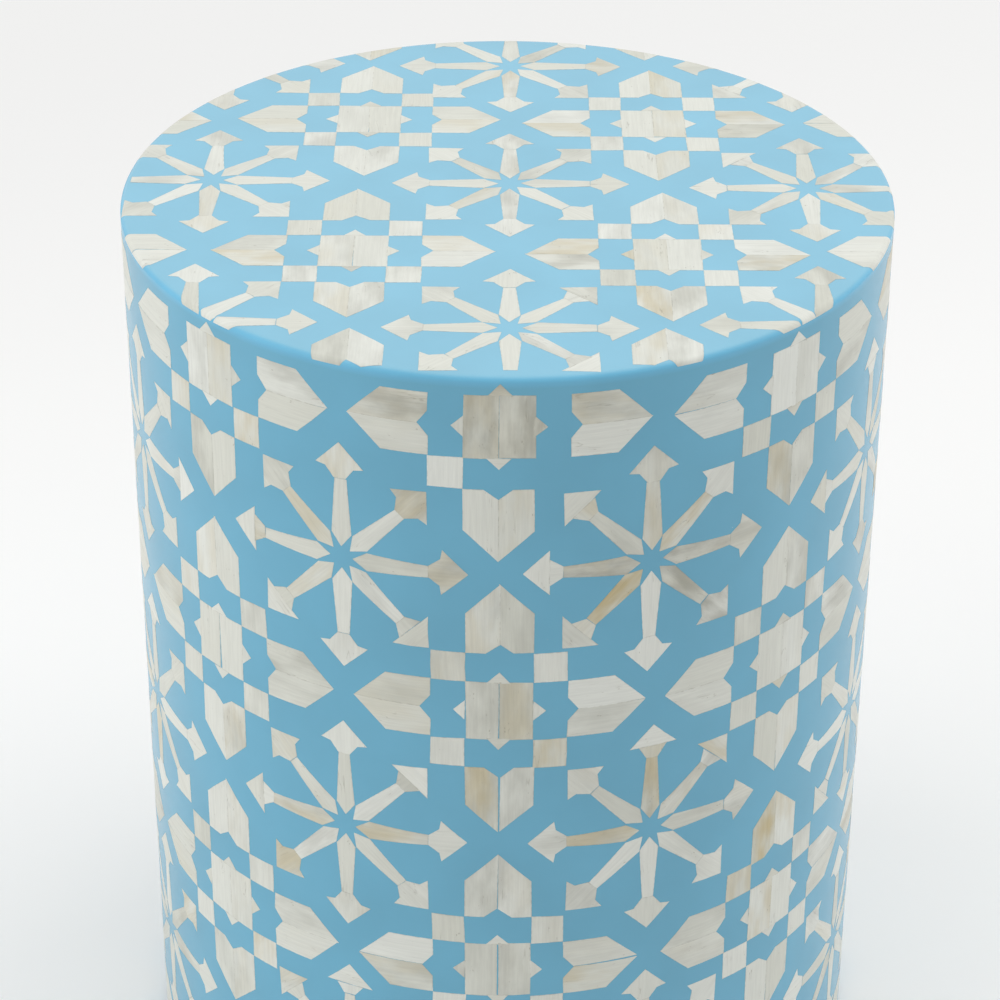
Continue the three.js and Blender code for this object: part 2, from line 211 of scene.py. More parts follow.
def length(name, description, size_mm):
    """A setting that holds a length, written here in millimetres."""
    return FloatProperty(
        name=name, description=description, default=size_mm * MM, precision=5, unit="LENGTH"
    )


def colour(name, description, code):
    """A setting that holds a colour, written here as sRGB hex."""
    return FloatVectorProperty(
        name=name, description=description, default=from_hex(code), size=4, subtype="COLOR"
    )


def share(name, description, part):
    """A setting that holds a share from 0 to 1."""
    return FloatProperty(
        name=name, description=description, default=part, min=0, max=1, subtype="FACTOR"
    )


class DRUM_PG_star(bpy.types.PropertyGroup):
    """Sizes of a large star's arm: a tapered ray with an arrow head."""

    start: length("Ray start", "From the star's middle to a ray's point", 5.4)
    shoulder: length("Shoulder", "From the middle to a ray's widest place", 11.8)
    shoulder_half: length("Shoulder half width", "Half of a ray's greatest width", 4.6)
    neck_half: length("Neck half width", "Half of the width where ray and head meet", 2.8)
    head: length("Head length", "From the neck to the tip", 17.4)
    notch: length("Notch setback", "From the tip back to the notch under an ear", 12.3)
    notch_half: length("Notch half width", "Half of the width at the notches", 6.7)
    ear: length("Ear setback", "From the tip back to the ears", 11.5)
    ear_half: length("Ear half width", "Half of the width over the ears", 11.3)
    blunt: length("Blunt tip", "Half of the width that a sawn point keeps", 0.15)


class DRUM_PG_rosette(bpy.types.PropertyGroup):
    """Sizes of a rosette: a small star, four squares and four houses."""

    strip: length("Strip width", "Width of the bone strips that everything is cut from", 15)
    point_base: length("Point base", "Width of the small star's points", 10.5)
    point_height: length("Point height", "Height of the small star's points", 5.3)
    point_seat: length("Point seat", "How far a point is let in beside its strip", 0.3)
    notch_half: length("House notch half width", "Half of the notch in a house's base", 6.2)
    notch_depth: length("House notch depth", "Depth of the notch in a house's base", 4.9)


class DRUM_PG_layout(bpy.types.PropertyGroup):
    """Where the motifs lie on the top and on the unrolled side."""

    top_cell: length("Top cell", "Between neighbouring stars of the top", TOP_CELL)
    top_shift: length("Top shift", "From the axis back to the middle star", 8.51)
    top_straight: length("Top straight arm", "From a star's middle to a straight tip", 54.1)
    top_diagonal: length("Top diagonal arm", "From a star's middle to a diagonal tip", 53)
    top_house: length("Top house tip", "From a rosette's middle to a house's tip", 62.4)
    columns: IntProperty(name="Columns", description="Stars round the side", default=8, min=3)
    rows: IntProperty(name="Rows", description="Rows of stars on the side", default=3, min=1)
    pitch: length("Row pitch", "Between rows of rosettes, but for the last row", 142)
    margin: length("Margin", "From the top's plane to the first row's middle", 24)
    foot_margin: length("Foot margin", "From the foot to the last row's middle", 22)
    start: length("First column", "From the front's middle to a column of rosettes", -3.2)
    spread: length("Spread", "How far the columns are laid away from the front", 3.5)
    side_straight: length("Side straight arm", "From a star's middle to a straight tip", 56.3)
    side_diagonal: length("Side diagonal arm", "From a star's middle to a diagonal tip", 55)
    side_house: length("Side house tip", "From a rosette's middle to a house's tip", 65.3)


class DRUM_PG_handwork(bpy.types.PropertyGroup):
    """How far the handwork strays from the drawn pattern."""

    cut: length("Cut", "How far an edge strays from its line", 0.1)
    laid: length("Laid", "How far a motif is laid off its place", 0.6)
    lap: length("Lap", "How far a bone reaches past its joint's line, into its neighbour", 0.1)
    proud: length("Proud", "How far the lowest bone stands over the resin", 0.055)
    proud_range: length("Proud range", "How much more the highest bone stands", 0.03)
    rim: length("Rim", "Width of the rim round a bone, where joints are dirty", 0.45)
    split: share("Split heads", "Share of the side's arrow heads in two pieces", 0.35)
    top_split: share("Split heads, top", "Share of the top's arrow heads in two pieces", 0.15)
    seed: IntProperty(name="Seed", description="Another number cuts other bones", default=7)


class DRUM_PG_colours(bpy.types.PropertyGroup):
    """Colours of the resin, the bone and the floor."""

    resin: colour("Resin, side", "Tinted resin of the side", "#69AECB")
    # The top's resin colour is painted light: paler than the side, standing in for the sheen that
    # the top catches
    resin_top: colour("Resin, top", "Tinted resin of the top, buffed paler", "#84C1DB")
    # The edge's resin colour is painted light: a clearer blue standing in for how the rounded edge
    # is lit
    resin_edge_painted_light: colour("Resin, edge", "Resin at the rounded edge, buffed clearer", "#6DBBDE")
    bone_pale: colour("Bone, pale", "The palest bone", "#E7E9E2")
    bone: colour("Bone", "Common bone", "#D8D9CE")
    bone_grey: colour("Bone, grey", "Dense, glassy bone", "#ABABA0")
    bone_tan: colour("Bone, tan", "Bone from beside the marrow", "#C6B78E")
    bone_pore: colour("Bone, pores", "Pores, cracks and glue in the joints", "#7A715D")
    floor: colour("Floor", "Studio floor and backdrop", "#F8F8F7")


class DRUM_PG_settings(bpy.types.PropertyGroup):
    """All settings of the drum stool."""

    star: PointerProperty(type=DRUM_PG_star)
    rosette: PointerProperty(type=DRUM_PG_rosette)
    layout: PointerProperty(type=DRUM_PG_layout)
    handwork: PointerProperty(type=DRUM_PG_handwork)
    colours: PointerProperty(type=DRUM_PG_colours)


def per(size_mm):
    """How often a pattern of this size in millimetres repeats in a metre."""
    return 1 / (size_mm * MM)


def feed(node, inputs):
    """Sets each input of a node to a value, or links it to another node's output."""
    for key, value in inputs.items():
        if isinstance(value, bpy.types.NodeSocket):
            node.id_data.links.new(value, node.inputs[key])
        else:
            node.inputs[key].default_value = value


def add_node(tree, kind, inputs, output=0, **settings):
    """Adds a shader node with its settings and inputs, and returns one of its outputs."""
    node = tree.nodes.new("ShaderNode" + kind)
    for key, value in settings.items():
        setattr(node, key, value)
    feed(node, inputs)
    return node.outputs[output]


def new_material(name):
    """An empty material, its shader, and what adds a node to it."""
    made = bpy.data.materials.new(name)
    made.use_nodes = True
    return made, made.node_tree.nodes["Principled BSDF"], partial(add_node, made.node_tree)


def resin_material(colours):
    """Pigmented polyester resin, poured, ground flat and buffed."""
    # An even, milky tint with faint clouds where it was poured, and a soft gloss whose
    # reflections waver a little, because the surface is ground by hand.
    made, shader, add = new_material("polyester_resin_buffed")
    place = add("TexCoord", {}, "Object")
    height = add("SeparateXYZ", {"Vector": place}, "Z")
    flat = add("VectorMath", {0: place, 1: (1, 1, 0)}, operation="MULTIPLY")
    reach = add("VectorMath", {0: flat}, "Value", operation="LENGTH")
    # Painted light: the top is painted paler than the side, standing in for the sheen that it
    # catches
    painted_top_light = add(
        "MapRange", {"Value": height, "From Min": TOP_Z - EDGE, "From Max": TOP_Z},
        interpolation_type="SMOOTHSTEP",
    )
    # The edge's painted light fades in over the rounding, outwards and upwards: a clearer blue for
    # how the rounded edge is lit.
    outward = {"Value": reach, "From Min": RADIUS - 0.7 * EDGE, "From Max": RADIUS - 0.2 * EDGE}
    upward = {"Value": height, "From Min": TOP_Z - 2 * EDGE, "From Max": TOP_Z - 0.8 * EDGE}
    painted_edge_light = add(
        "Math", {0: add("MapRange", outward), 1: add("MapRange", upward)}, operation="MULTIPLY"
    )
    tint = colours.resin
    # The painted light goes over the side's tint: a paler top and a clearer blue rounded edge
    for mask, paint in ((painted_top_light, colours.resin_top), (painted_edge_light, colours.resin_edge_painted_light)):
        tint = add("Mix", {"Factor": mask, MIX_A: tint, MIX_B: paint}, **TINT)
    pour = add("TexNoise", {"Vector": place, "Scale": per(45), "Detail": 3})
    clouds = add("MapRange", {"Value": pour, **NOISE_SPAN, "To Min": 0.95, "To Max": 1.03})
    tint = add("Mix", {"Factor": 1, MIX_A: tint, MIX_B: clouds}, **TINT, blend_type="MULTIPLY")
    # Bone dust that the grinding left, about 0.5 mm wide and seldom
    grit = add("TexVoronoi", {"Vector": place, "Scale": per(34)})
    dust = add("MapRange", {"Value": grit, "From Min": 0.008, "From Max": 0.004, "To Max": 0.6})
    tint = add("Mix", {"Factor": dust, MIX_A: tint, MIX_B: colours.bone}, **TINT)
    buff = add("TexNoise", {"Vector": place, "Scale": per(7), "Detail": 4})
    gloss = add("MapRange", {"Value": buff, **NOISE_SPAN, "To Min": 0.2, "To Max": 0.26})
    wave = add("TexNoise", {"Vector": place, "Scale": per(28), "Detail": 1})
    swell = add("Bump", {"Height": wave, "Distance": 0.06 * MM})
    skin = add("Bump", {"Height": buff, "Distance": 0.004 * MM, "Normal": swell})
    feed(shader, {"Base Color": tint, "Roughness": gloss, "IOR": 1.52, "Normal": skin})
    return made


def bone_material(colours):
    """Camel bone, boiled, bleached, sawn into strips and ground flush."""
    # Ivory to grey-beige with fine streaks along each strip, glassy grey clouds, tan next to
    # the marrow, thin cracks and open pores, and a satin surface that is duller along the fibres.
    made, shader, add = new_material("camel_bone_ground")
    grain = add("UVMap", {}, uv_map=GRAIN_MAP)
    make = add("Attribute", {}, "Color", attribute_name=MAKE_LAYER)
    rim = make.node.outputs["Alpha"]
    pale, grey, tan = add("SeparateColor", {"Color": make}).node.outputs
    # How long and how wide marks are in millimetres, their detail, and the values of the noise
    # between which they fade in
    patterns = {
        "clouds": (24, 11, 4, 0.3, 0.7),
        "marrow": (30, 12, 3, 0.32, 0.68),
        "streaks": (26, 1.3, 3, 0.3, 0.7),
        "fibres": (8, 0.45, 2, 0.3, 0.7),
        "crack_places": (15, 11, 1, 0.6, 0.7),
        "pore_places": (10, 6, 2, 0.62, 0.7),
        "joint_dirt": (3, 3, 2, 0.4, 0.62),
    }
    marks = {}
    for name, (long, wide, detail, low, high) in patterns.items():
        drawn = add("VectorMath", {0: grain, 1: (per(long), per(wide), 1)}, operation="MULTIPLY")
        noise = add("TexNoise", {"Vector": drawn, "Scale": 1, "Detail": detail})
        marks[name] = add(
            "MapRange", {"Value": noise, "From Min": low, "From Max": high},
            interpolation_type="SMOOTHSTEP",
        )
    # Cracks follow the middle value of a noise, drawn out along the grain, and fade beside it.
    drawn = add("VectorMath", {0: grain, 1: (per(30), per(3.2), 1)}, operation="MULTIPLY")
    noise = add("TexNoise", {"Vector": drawn, "Scale": 1, "Detail": 2})
    off = add("Math", {0: noise, 1: 0.5}, operation="SUBTRACT")
    near = add("Math", {0: off}, operation="ABSOLUTE")
    line = add("MapRange", {"Value": near, "From Min": 0.012, "From Max": 0.004})
    crack = add("Math", {0: line, 1: marks["crack_places"]}, operation="MULTIPLY")
    # Pores are short ovals along the grain, 0.5 by 1.3 mm at most, in clusters.
    drawn = add("VectorMath", {0: grain, 1: (per(2.2), per(0.9), 1)}, operation="MULTIPLY")
    cell = add("TexVoronoi", {"Vector": drawn, "Scale": 1})
    dot = add("MapRange", {"Value": cell, "From Min": 0.3, "From Max": 0.16})
    pore = add("Math", {0: dot, 1: marks["pore_places"]}, operation="MULTIPLY")
    joint = add("Math", {0: rim, 1: marks["joint_dirt"]}, operation="MULTIPLY")

    shade = add("Mix", {"Factor": pale, MIX_A: colours.bone, MIX_B: colours.bone_pale}, **TINT)
    stains = (
        (grey, marks["clouds"], colours.bone_grey), (tan, marks["marrow"], colours.bone_tan)
    )
    for strength, mask, paint in stains:
        cover = add("Math", {0: strength, 1: mask}, operation="MULTIPLY")
        shade = add("Mix", {"Factor": cover, MIX_A: shade, MIX_B: paint}, **TINT)
    for name, least in (("streaks", 0.93), ("fibres", 0.97)):
        level = add("MapRange", {"Value": marks[name], "To Min": least})
        darker = {"Factor": 1, MIX_A: shade, MIX_B: level}
        shade = add("Mix", darker, **TINT, blend_type="MULTIPLY")
    for mask, strength in ((crack, 0.3), (pore, 0.45), (joint, 0.4)):
        cover = add("Math", {0: mask, 1: strength}, operation="MULTIPLY")
        shade = add("Mix", {"Factor": cover, MIX_A: shade, MIX_B: colours.bone_pore}, **TINT)
    dull = add("MapRange", {"Value": marks["fibres"], "To Min": 0.46, "To Max": 0.36})
    pits = add("Math", {0: crack, 1: pore}, operation="MAXIMUM")
    ridges = add("Bump", {"Height": marks["fibres"], "Distance": 0.006 * MM})
    pitted = add("Bump", {"Height": pits, "Distance": -0.08 * MM, "Normal": ridges})
    feed(shader, {"Base Color": shade, "Roughness": dull, "IOR": 1.54, "Normal": pitted})
    return made


def board_material(name, dark, light):
    """Medium density fibre board, sawn."""
    # Matt and even, with short fibres about 1 mm long and soft blotches.
    made, shader, add = new_material(name)
    place = add("TexCoord", {}, "Object")
    fibres = add("TexNoise", {"Vector": place, "Scale": per(1.1), "Detail": 3})
    blotch = add("TexNoise", {"Vector": place, "Scale": per(40), "Detail": 2})
    both = add("Mix", {"Factor": 0.4, "A": fibres, "B": blotch})
    level = add("MapRange", {"Value": both, "From Min": 0.35, "From Max": 0.65})
    shade = add("Mix", {"Factor": level, MIX_A: from_hex(dark), MIX_B: from_hex(light)}, **TINT)
    nap = add("Bump", {"Height": fibres, "Distance": 0.05 * MM})
    feed(shader, {"Base Color": shade, "Roughness": 0.82, "IOR": 1.46, "Normal": nap})
    return made


def timber_material(name, dark, light, ring_mm, squeeze):
    """Softwood or birch veneer, planed: growth rings, drawn out where an axis is squeezed."""
    # Pale wood with darker late rings and a fine fleck along the grain, satin to matt.
    made, shader, add = new_material(name)
    place = add("TexCoord", {}, "Object")
    along = add("VectorMath", {0: place, 1: squeeze}, operation="MULTIPLY")
    sway = add("TexNoise", {"Vector": along, "Scale": per(60), "Detail": 2})
    bent = add("VectorMath", {0: sway, 1: (20 * MM,) * 3, 2: along}, operation="MULTIPLY_ADD")
    rings = add(
        "TexWave", {"Vector": bent, "Scale": per(ring_mm) / FULL_TURN, "Detail": 2},
        bands_direction="DIAGONAL",
    )
    fleck = add("TexNoise", {"Vector": along, "Scale": per(0.8), "Detail": 2})
    both = add("Mix", {"Factor": 0.35, "A": rings, "B": fleck})
    shade = add("Mix", {"Factor": both, MIX_A: from_hex(light), MIX_B: from_hex(dark)}, **TINT)
    ridges = add("Bump", {"Height": fleck, "Distance": 0.03 * MM})
    feed(shader, {"Base Color": shade, "Roughness": 0.62, "IOR": 1.46, "Normal": ridges})
    return made


def steel_material():
    """Zinc plated steel, turned and cold formed."""
    # Bright grey with a faint drawn texture and slightly uneven plating.
    made, shader, add = new_material("zinc_plated_steel")
    place = add("TexCoord", {}, "Object")
    plating = add("TexNoise", {"Vector": place, "Scale": per(1.5), "Detail": 3})
    dark, light = from_hex("#A9ADB2"), from_hex("#C9CCCF")
    shade = add("Mix", {"Factor": plating, MIX_A: dark, MIX_B: light}, **TINT)
    gloss = add("MapRange", {"Value": plating, "To Min": 0.3, "To Max": 0.42})
    feed(shader, {"Base Color": shade, "Metallic": 1, "Roughness": gloss})
    return made


def nylon_material():
    """Black nylon, moulded, scuffed where it stands on the floor."""
    # Nearly black with a grey bloom of fine scuffs, between satin and matt.
    made, shader, add = new_material("nylon_moulded")
    place = add("TexCoord", {}, "Object")
    scuffs = add("TexNoise", {"Vector": place, "Scale": per(2.5), "Detail": 5})
    worn = add("MapRange", {"Value": scuffs, "From Min": 0.45, "From Max": 0.75})
    dark, light = from_hex("#252526"), from_hex("#4A4A4B")
    shade = add("Mix", {"Factor": worn, MIX_A: dark, MIX_B: light}, **TINT)
    gloss = add("MapRange", {"Value": worn, "To Min": 0.42, "To Max": 0.62})
    bump = add("Bump", {"Height": scuffs, "Distance": 0.02 * MM})
    feed(shader, {"Base Color": shade, "Roughness": gloss, "IOR": 1.53, "Normal": bump})
    return made


def place_piece(name, mesh, material, replaced):
    """Links a finished mesh as a piece that rides on the drum and stands for its nodes."""
    mesh.materials.append(material)
    piece = bpy.data.objects.new(name, mesh)
    bpy.context.scene.collection.objects.link(piece)
    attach(piece, BODY)
    if replaced:
        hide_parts(*replaced)


def facet_angles(facets):
    """The angles 2 pi k / n of a turned piece's n facets."""
    return np.arange(facets) * FULL_TURN / facets


def ring_mesh(name, radii, heights):
    """Rings of points (r cos a, r sin a, z), with an r for each ring and angle, joined up."""
    radii, heights = np.array(radii), np.array(heights)[:, None]
    angles = facet_angles(radii.shape[1])
    places = np.broadcast_arrays(radii * np.cos(angles), radii * np.sin(angles), heights)
    points = np.stack(places, axis=-1)
    numbers = np.arange(radii.size).reshape(radii.shape)
    onward = np.roll(numbers, -1, axis=1)
    quads = np.stack([numbers[:-1], onward[:-1], onward[1:], numbers[1:]], axis=-1)
    mesh = bpy.data.meshes.new(name)
    mesh.from_pydata(points.reshape(-1, 3).tolist(), [], quads.reshape(-1, 4).tolist())
    cleaned = bmesh.new()
    cleaned.from_mesh(mesh)
    bmesh.ops.remove_doubles(cleaned, verts=cleaned.verts, dist=MERGE)
    bmesh.ops.recalc_face_normals(cleaned, faces=cleaned.faces)
    cleaned.to_mesh(mesh)
    cleaned.free()
    mesh.shade_smooth()
    mesh.set_sharp_from_angle(angle=SHARP)
    return mesh


def turned_mesh(name, profile, facets):
    """A profile of radii r and heights z, turned about Z: (r cos a, r sin a, z)."""
    radii, heights = np.array(profile).T
    return ring_mesh(name, np.repeat(radii[:, None], facets, axis=1), heights)


def arc(middle, radius, start, end, steps):
    """Points of [radius, height] on an arc about a middle, between two angles."""
    angles = np.linspace(start, end, steps + 1)
    return [[middle[0] + radius * math.cos(a), middle[1] + radius * math.sin(a)] for a in angles]


# One bone of a motif, drawn along x and then turned by an angle. Each station is a place on x with
# the bone's lowest and highest y there. The grain runs along x, or along y where it is across.
Bone = namedtuple("Bone", "part turn stations grain_across", defaults=(False,))


def spaced(stations, reach, rim):
    """Places along x: the stations, even steps between them, and one a rim inside each end.

    A step is at most reach long, also along the bone's slanting edges.
    """
    knots = stations[:, 0]
    inner = np.array([knots[0] + rim, *knots[1:-1], knots[-1] - rim])
    spans = np.abs(np.diff(stations, axis=0)).max(axis=1)
    counts = np.ceil(spans / reach).astype(int).clip(1)
    runs = [
        np.linspace(start, end, count, endpoint=False)
        for start, end, count in zip(inner, inner[1:], counts)
    ]
    return np.concatenate([knots[:1], *runs, inner[-1:], knots[-1:]])


def bone_face(bone, reach, rim):
    """A bone's face as a grid of [x, y], with a narrow ring of cells round its border.

    P(i, j) = (station i, low + (high - low) t), where t runs from 0 to 1 in even steps between
    the two rims. A rim is a quarter of the bone's width at most. Returns the grid and a mask
    that is 1 on the border and 0 inside.
    """
    stations = np.array(bone.stations)
    knots, lows, highs = stations.T
    along = spaced(stations, reach, rim)
    low, high = np.interp(along, knots, lows), np.interp(along, knots, highs)
    ring = np.minimum(rim, (high - low) / 4)
    columns = math.ceil((highs - lows).max() / reach)
    t = np.linspace(0, 1, columns + 1)
    inside = (low + ring)[:, None] + (high - low - 2 * ring)[:, None] * t
    beside = np.concatenate([low[:, None], inside, high[:, None]], axis=1)
    grid = np.stack([np.repeat(along[:, None], beside.shape[1], axis=1), beside], axis=-1)
    border = np.ones(grid.shape[:2])
    border[1:-1, 1:-1] = 0
    return grid, border


def hand_cut(grid, stray, random):
    """The grid as a saw and a file leave it.

    Each point is moved by c0 + c1 u + c2 v + c3 uv + c4 uu + c5 vv, with u and v running from -1
    to 1 over the bone and with random vectors c, which shifts, turns, stretches and bows it.
    """
    low, high = grid.min(axis=(0, 1)), grid.max(axis=(0, 1))
    u, v = np.moveaxis((2 * grid - low - high) / (high - low), -1, 0)
    terms = np.stack([np.ones_like(u), u, v, u * v, u * u, v * v], axis=-1)
    return grid + terms @ random.normal(0, stray, (6, 2))


def rotated(points, angle):
    """Plane points turned about the origin: (x cos a - y sin a, x sin a + y cos a)."""
    cos, sin = math.cos(angle), math.sin(angle)
    return points @ np.array([[cos, sin], [-sin, cos]])


def even(x, half):
    """A station that reaches equally far to both sides of a bone's middle line."""
    return x, -half, half


def star_bones(star, steps, tips, lap, split, random):
    """The arms of a large star at steps of an eighth of a turn: rays with arrow heads.

    A share of the heads is in two pieces that part along the ears.
    """
    bones = []
    for step in steps:
        turn, tip = step * FULL_TURN / ARMS, tips[step % 2]
        start, shoulder = even(star.start, star.blunt), even(star.shoulder, star.shoulder_half)
        end = even(tip - star.head, star.neck_half)
        neck = even(tip - star.head - lap * random.random(), star.neck_half)
        notch = even(tip - star.notch, star.notch_half)
        ear = even(tip - star.ear, star.ear_half)
        point = even(tip, star.blunt)
        bones.append(Bone(f"ray_{step}", turn, [start, shoulder, end]))
        if random.random() < split:
            under_ear = even(tip - star.ear + lap, star.notch_half)
            bones.append(Bone(f"neck_{step}", turn, [neck, under_ear]))
            bones.append(Bone(f"head_{step}", turn, [ear, point], True))
        else:
            bones.append(Bone(f"head_{step}", turn, [neck, notch, ear, point]))
    return bones


def past_joint(lap, opening):
    """How far a bone reaches past its joint's line, or short of it where resin fills the joint."""
    return -opening * MM / 2 if opening else lap


def house_bones(rosette, turn, tip, lap, part, opening=0):
    """A house in two strips: a notched base and a square point, parted along its middle."""
    base, half = 2 * rosette.strip, rosette.strip
    past = past_joint(lap, opening)
    end = 2 * lap - past
    left = [
        (base, rosette.notch_half, half),
        (base + rosette.notch_depth, -past, half),
        (tip - half, -past, half),
        (tip - end, -past, end),
    ]
    right = [(x, -high, -low) for x, low, high in left]
    return [Bone(part + "_left", turn, left), Bone(part + "_right", turn, right)]


def rosette_bones(rosette, tip, lap, sides, corners, openings):
    """A small star in two upright strips with four points, and houses and squares round it."""
    half, far = rosette.strip, 2 * rosette.strip
    past = past_joint(lap, openings.get("strips"))
    bones = [
        Bone("strip_right", QUARTER, [(-half, -half, past), (half, -half, past)]),
        Bone("strip_left", QUARTER, [(-half, -past, half), (half, -past, half)]),
    ]
    seat = even(half - rosette.point_seat, rosette.point_base / 2)
    point = [seat, even(half + rosette.point_height, lap / 2)]
    bones += [Bone(f"point_{i}", i * QUARTER, point, True) for i in range(4)]
    square = [(half, half, far), (far, half, far)]
    bones += [Bone(f"corner_{i}", i * QUARTER, square, i % 2 == 0) for i in corners]
    for i in sides:
        part = f"house_{i}"
        bones += house_bones(rosette, i * QUARTER, tip, lap, part, openings.get(part))
    return bones


def on_side(points, height):
    """The unrolled side's points on the drum: at the angle x / R from the front, y under the top.

    Returns the places at a height over the resin's surface, and the outward directions.
    """
    angle = points[..., 0] / RADIUS - QUARTER
    outward = np.stack([np.cos(angle), np.sin(angle), np.zeros_like(angle)], axis=-1)
    places = outward * (RADIUS + height)
    places[..., 2] = TOP_Z + points[..., 1]
    return places, outward


def on_top(points, height):
    """The top's points on the drum: flat up to the rounded edge, then wrapped round it.

    Past the edge's start at R - e the distance becomes an angle b = (r - R + e) / e about the
    edge's centre line, of EDGE_WRAP at most. Returns the places and the outward directions.
    """
    reach = np.linalg.norm(points, axis=-1)
    heading = points / np.maximum(reach, MM)[..., None]
    bend = ((reach - RADIUS + EDGE) / EDGE).clip(0, EDGE_WRAP)
    run = np.minimum(reach, RADIUS - EDGE) + (EDGE + height) * np.sin(bend)
    lift = TOP_Z - EDGE + (EDGE + height) * np.cos(bend)
    places = np.concatenate([heading * run[..., None], lift[..., None]], axis=-1)
    outward = np.concatenate([heading * np.sin(bend)[..., None], np.cos(bend)[..., None]], axis=-1)
    return places, outward


def within_rim(points):
    """Which points of the top lie inside the line where a rim bone ends."""
    return np.linalg.norm(points, axis=-1) < RADIUS - EDGE + EDGE * EDGE_WRAP


def near_edge(points):
    """Which points of the top lie on the rounded edge or so near it that a bone may bend."""
    return np.linalg.norm(points, axis=-1) > RADIUS - 2 * EDGE


def tile(tops, unders, quads, ring):
    """One bone as a closed body: its face, walls down from its border, and its underside.

    The face's border is the ring, counterclockwise, and the underside is that ring reversed.
    Where the rim cuts the bone there is no ring: the border is then the edges whose reverse no
    other quad has, and the underside is the face's quads reversed.
    """
    count = len(tops)
    if ring is None:
        starts, ends = quads.ravel(), np.roll(quads, -1, axis=1).ravel()
        edge = ~np.isin(ends * count + starts, starts * count + ends)
        upper = np.stack([starts[edge], ends[edge]])
        lower = upper + count
        bottom = (quads[:, ::-1] + count).tolist()
    else:
        unders = unders[ring]
        upper = np.stack([ring, np.roll(ring, -1)])
        below = np.arange(ring.size) + count
        lower = np.stack([below, np.roll(below, -1)])
        bottom = [below[::-1].tolist()]
    walls = np.stack([upper[1], upper[0], lower[0], lower[1]], axis=-1)
    return np.concatenate([tops, unders]), quads.tolist() + walls.tolist() + bottom


class Inlay:
    """Gathers bones, each a grid on the surface, and makes one mesh of their closed bodies."""

    def __init__(self, lay, trim=None):
        self.lay = lay
        self.trim = trim
        self.points, self.faces, self.faced = [], [], []
        self.outwards, self.grains, self.makes = [], [], []
        self.count = 0

    def add(self, grid, grain, border, proud, make):
        """Adds a bone: a grid of plane points, and the places of its points on its own strip."""
        numbers = np.arange(border.size).reshape(border.shape)
        cells = [numbers[:-1, :-1], numbers[1:, :-1], numbers[1:, 1:], numbers[:-1, 1:]]
        quads = self.least_sunk(grid, np.stack(cells, axis=-1).reshape(-1, 4), proud)
        border_runs = [numbers[:-1, 0], numbers[-1, :-1], numbers[:0:-1, -1], numbers[0, :0:-1]]
        used, ring = numbers.ravel(), np.concatenate(border_runs)
        if self.trim and not self.trim(grid).all():
            kept = self.trim(grid).ravel()[quads].any(axis=1)
            used, quads = np.unique(quads[kept], return_inverse=True)
            quads, ring = quads.reshape(-1, 4), None
        if not quads.size:
            return
        tops, outward = (part.reshape(-1, 3)[used] for part in self.lay(grid, proud))
        unders = self.lay(grid, -BONE_DEPTH)[0].reshape(-1, 3)[used]
        points, faces = tile(tops, unders, quads, ring)
        grain = grain.reshape(-1, 2)[used]
        tones = np.append(np.tile(make, (used.size, 1)), border.reshape(-1, 1)[used], axis=1)
        self.points.append(points)
        self.faces += [[self.count + number for number in face] for face in faces]
        self.faced += [True] * len(quads) + [False] * (len(faces) - len(quads))
        for store, values in ((self.outwards, outward), (self.grains, grain), (self.makes, tones)):
            store += [values, values if ring is None else values[ring]]
        self.count += len(points)

    def least_sunk(self, grid, quads, proud):
        """The quads, each turned so that it parts along the diagonal that sinks less.

        A diagonal sinks by the distance from its middle to the surface between its ends.
        """
        flat = grid.reshape(-1, 2)
        places = self.lay(flat, proud)[0]
        sinks = []
        for start, end in ((quads[:, 0], quads[:, 2]), (quads[:, 1], quads[:, 3])):
            between = self.lay((flat[start] + flat[end]) / 2, proud)[0]
            sinks.append(np.linalg.norm(between - (places[start] + places[end]) / 2, axis=-1))
        return np.where((sinks[0] > sinks[1])[:, None], np.roll(quads, -1, axis=1), quads)

    def mesh(self, name):
        """The gathered bones as a mesh, with its strip places, its tones and its normals.

        A face's normals are the surface's own, so that a bone shades as one with the resin.
        """
        mesh = bpy.data.meshes.new(name)
        mesh.from_pydata(np.concatenate(self.points).tolist(), [], self.faces)
        corners = np.empty(len(mesh.loops), dtype=np.int32)
        mesh.loops.foreach_get("vertex_index", corners)
        strip = mesh.uv_layers.new(name=GRAIN_MAP)
        places = np.concatenate(self.grains)[corners]
        strip.data.foreach_set("uv", places.astype(np.float32).ravel())
        tones = mesh.color_attributes.new(name=MAKE_LAYER, type="FLOAT_COLOR", domain="POINT")
        tones.data.foreach_set("color", np.concatenate(self.makes).astype(np.float32).ravel())
        mesh.polygons.foreach_set("use_smooth", self.faced)
        shown = np.repeat(self.faced, [len(face) for face in self.faces])
        normals = np.concatenate(self.outwards)[corners] * shown[:, None]
        mesh.normals_split_custom_set(normals.tolist())
        return mesh


def bone_make(random):
    """How pale, how grey and how tan one bone is, each from 0 to 1."""
    pale = float(np.clip(random.normal(PALE, PALE_SPREAD), 0, 1))
    grey = GREY * random.random() ** GREY_RARITY
    tan = TAN * random.random() ** TAN_RARITY
    return [pale, grey, tan]


def outline_points(bone):
    """The corners of a bone, turned into place round its motif's middle."""
    knots, lows, highs = np.array(bone.stations).T
    corners = np.concatenate([np.stack([knots, lows], -1), np.stack([knots, highs], -1)])
    return rotated(corners, bone.turn)


def motif_middle(name, drawn, strays, work, random):
    """Where a motif was laid: where the photograph shows it, or a little off its place."""
    if name in strays:
        return drawn + np.array(strays[name]) * MM
    return drawn + random.normal(0, work.laid, 2)


